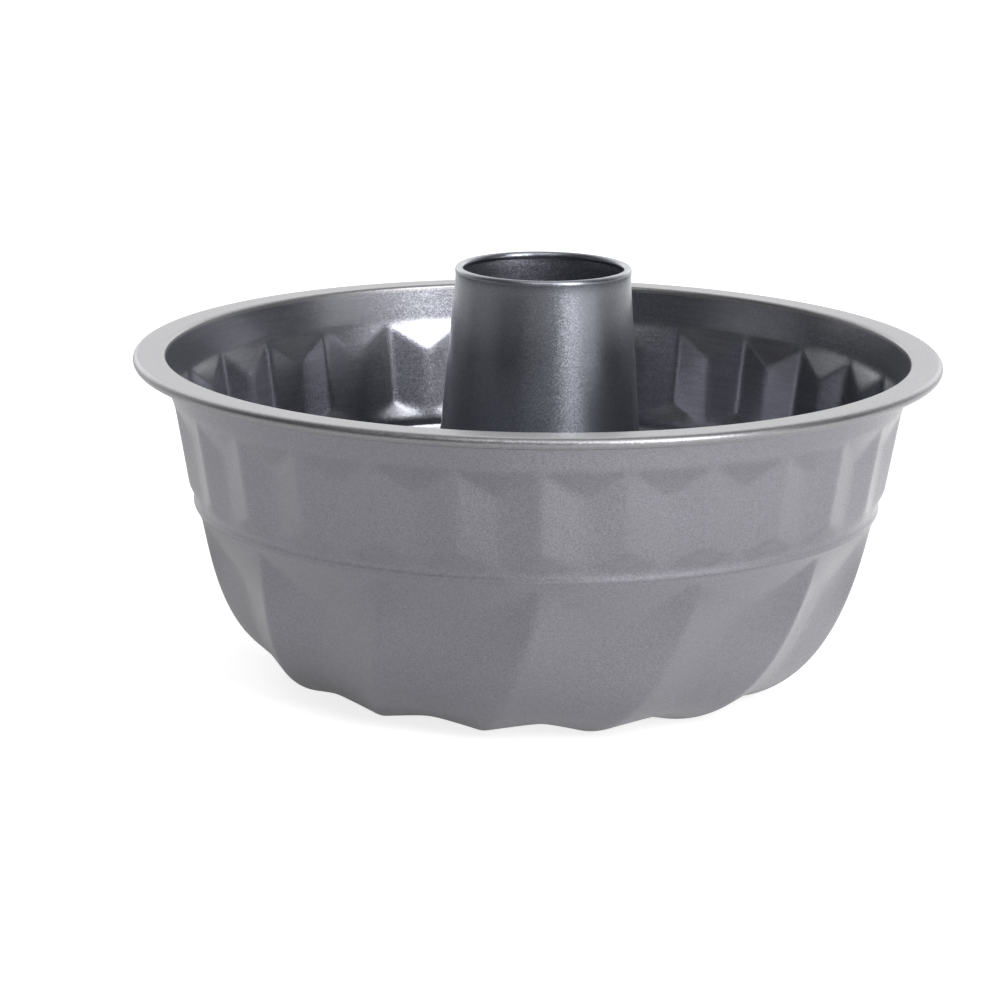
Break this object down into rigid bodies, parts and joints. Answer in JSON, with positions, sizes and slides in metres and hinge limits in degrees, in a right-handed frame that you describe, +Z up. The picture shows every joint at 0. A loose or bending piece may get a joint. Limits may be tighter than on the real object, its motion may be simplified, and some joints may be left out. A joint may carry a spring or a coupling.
{
  "type": "kugelhopf mould",
  "caption": "Round fluted cake mould with straight flutes over swirled ones, a flat rim with a curled edge and a tapered tube folded into its floor.",
  "frame": {"origin": "centre of the ring of feet, on the plane that the mould stands on", "axes": "+Z up along the tube's axis, -Y towards a foot ridge at the front"},
  "size_m": [0.25, 0.25, 0.1286],
  "materials": {
    "bowl_coating": "satin dark grey metallic non-stick coating with a fine sparkle",
    "tube_coating": "satin dark grey metallic non-stick coating with a fine sparkle"
  },
  "bodies": {
    "root": {"fluted_bowl": "bowl_coating", "centre_tube": "tube_coating"}
  },
  "joints": []
}
